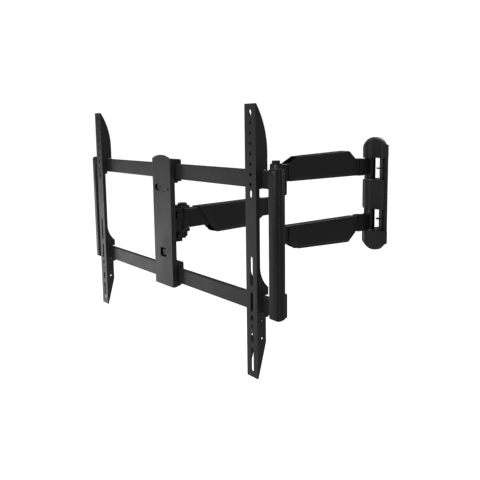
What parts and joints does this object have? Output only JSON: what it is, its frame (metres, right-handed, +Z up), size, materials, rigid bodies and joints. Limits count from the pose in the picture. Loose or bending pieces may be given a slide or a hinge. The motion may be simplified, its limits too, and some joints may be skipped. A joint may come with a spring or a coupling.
{
  "type": "full motion television wall mount",
  "caption": "Full motion television wall mount: narrow wall plate, folding twin wall arms and forearm, swivelling and tilting head, rail frame and sliding television brackets.",
  "frame": {"origin": "centre of the wall plate's back face, in the plane of the wall", "axes": "+Z up; +Y into the wall, so the television is on the -Y side; +X to the right for someone facing the wall"},
  "size_m": [0.755, 0.7532, 0.46],
  "materials": {
    "cap_plastic": "moulded, fine grain",
    "arm_cover_plastic": "moulded, satin",
    "side_cover_plastic": "moulded, satin",
    "clip_plastic": "moulded",
    "nylon": "natural nylon",
    "black_screws": "black oxide",
    "pivot_fasteners": "dark zinc",
    "zinc_fasteners": "zinc plated",
    "rail_steel": "fine powder coat",
    "bracket_steel": "fine powder coat",
    "centre_plate_steel": "fine powder coat",
    "arm_steel": "fine powder coat",
    "black_steel": "fine powder coat"
  },
  "bodies": {
    "wall_base": {"wall_plate": "black_steel", "upper_pivot_bracket": "black_steel", "lower_pivot_bracket": "black_steel", "top_cap": "cap_plastic", "middle_cover": "cap_plastic", "bottom_cap": "cap_plastic", "shoulder_bolts": "pivot_fasteners", "shoulder_nuts": "pivot_fasteners"},
    "wall_arms": {"upper_arm": "arm_steel", "lower_arm": "arm_steel", "upper_arm_cover": "arm_cover_plastic", "lower_arm_cover": "arm_cover_plastic", "shoulder_bushes": "nylon", "cable_clips": "clip_plastic", "cover_screws": "black_screws", "elbow_bolt": "pivot_fasteners", "elbow_nut": "pivot_fasteners", "elbow_washers": "pivot_fasteners"},
    "front_arm": {"forearm": "arm_steel", "forearm_cover": "arm_cover_plastic", "elbow_bushes": "nylon", "swivel_bushes": "nylon"},
    "head": {"swivel_head": "black_steel", "swivel_bolt": "pivot_fasteners", "swivel_nut": "pivot_fasteners", "swivel_washers": "pivot_fasteners", "tilt_pivot_bolt": "zinc_fasteners", "tilt_lock_bolt": "zinc_fasteners", "tilt_nuts": "zinc_fasteners"},
    "tilt_head": {"tilt_bracket": "black_steel", "level_bolt": "zinc_fasteners", "level_pivot_bolt": "zinc_fasteners", "level_nuts": "zinc_fasteners"},
    "rail_frame": {"centre_plate": "centre_plate_steel", "rail_bridge": "black_steel", "upper_rail": "rail_steel", "lower_rail": "rail_steel", "upper_rail_clamp": "black_steel", "lower_rail_clamp": "black_steel", "clamp_screws": "black_screws", "left_side_cover": "side_cover_plastic", "right_side_cover": "side_cover_plastic", "side_cover_screws": "black_screws"},
    "left_bracket": {"left_tv_bracket": "bracket_steel", "left_lock_screws": "zinc_fasteners"},
    "right_bracket": {"right_tv_bracket": "bracket_steel", "right_lock_screws": "zinc_fasteners"}
  },
  "joints": [
    {"name": "shoulder", "type": "hinge", "parent": "wall_base", "child": "wall_arms", "pos_m": [0, -0.042, 0], "axis": [0, 0, 1], "range_deg": [-125.2, 44.8]},
    {"name": "elbow", "type": "hinge", "parent": "wall_arms", "child": "front_arm", "pos_m": [0.22268, -0.30551, 0], "axis": [0, 0, -1], "range_deg": [-119.9, 130.1]},
    {"name": "swivel", "type": "hinge", "parent": "front_arm", "child": "head", "pos_m": [0.42526, -0.50598, 0], "axis": [0, 0, 1], "range_deg": [-73.7, 86.3]},
    {"name": "tilt", "type": "hinge", "parent": "head", "child": "tilt_head", "pos_m": [0.44099, -0.52541, -0.031], "axis": [0.7771, 0.6293, 0], "range_deg": [-5, 15]},
    {"name": "level", "type": "hinge", "parent": "tilt_head", "child": "rail_frame", "pos_m": [0.45157, -0.53846, -0.0655], "axis": [-0.6293, 0.7771, 0], "range_deg": [-3, 3]},
    {"name": "left_bracket_slide", "type": "slide", "parent": "rail_frame", "child": "left_bracket", "axis": [0.7771, 0.6293, 0], "range_m": [-0.0213, 0.189]},
    {"name": "right_bracket_slide", "type": "slide", "parent": "rail_frame", "child": "right_bracket", "axis": [0.7771, 0.6293, 0], "range_m": [-0.189, 0.0213]}
  ]
}
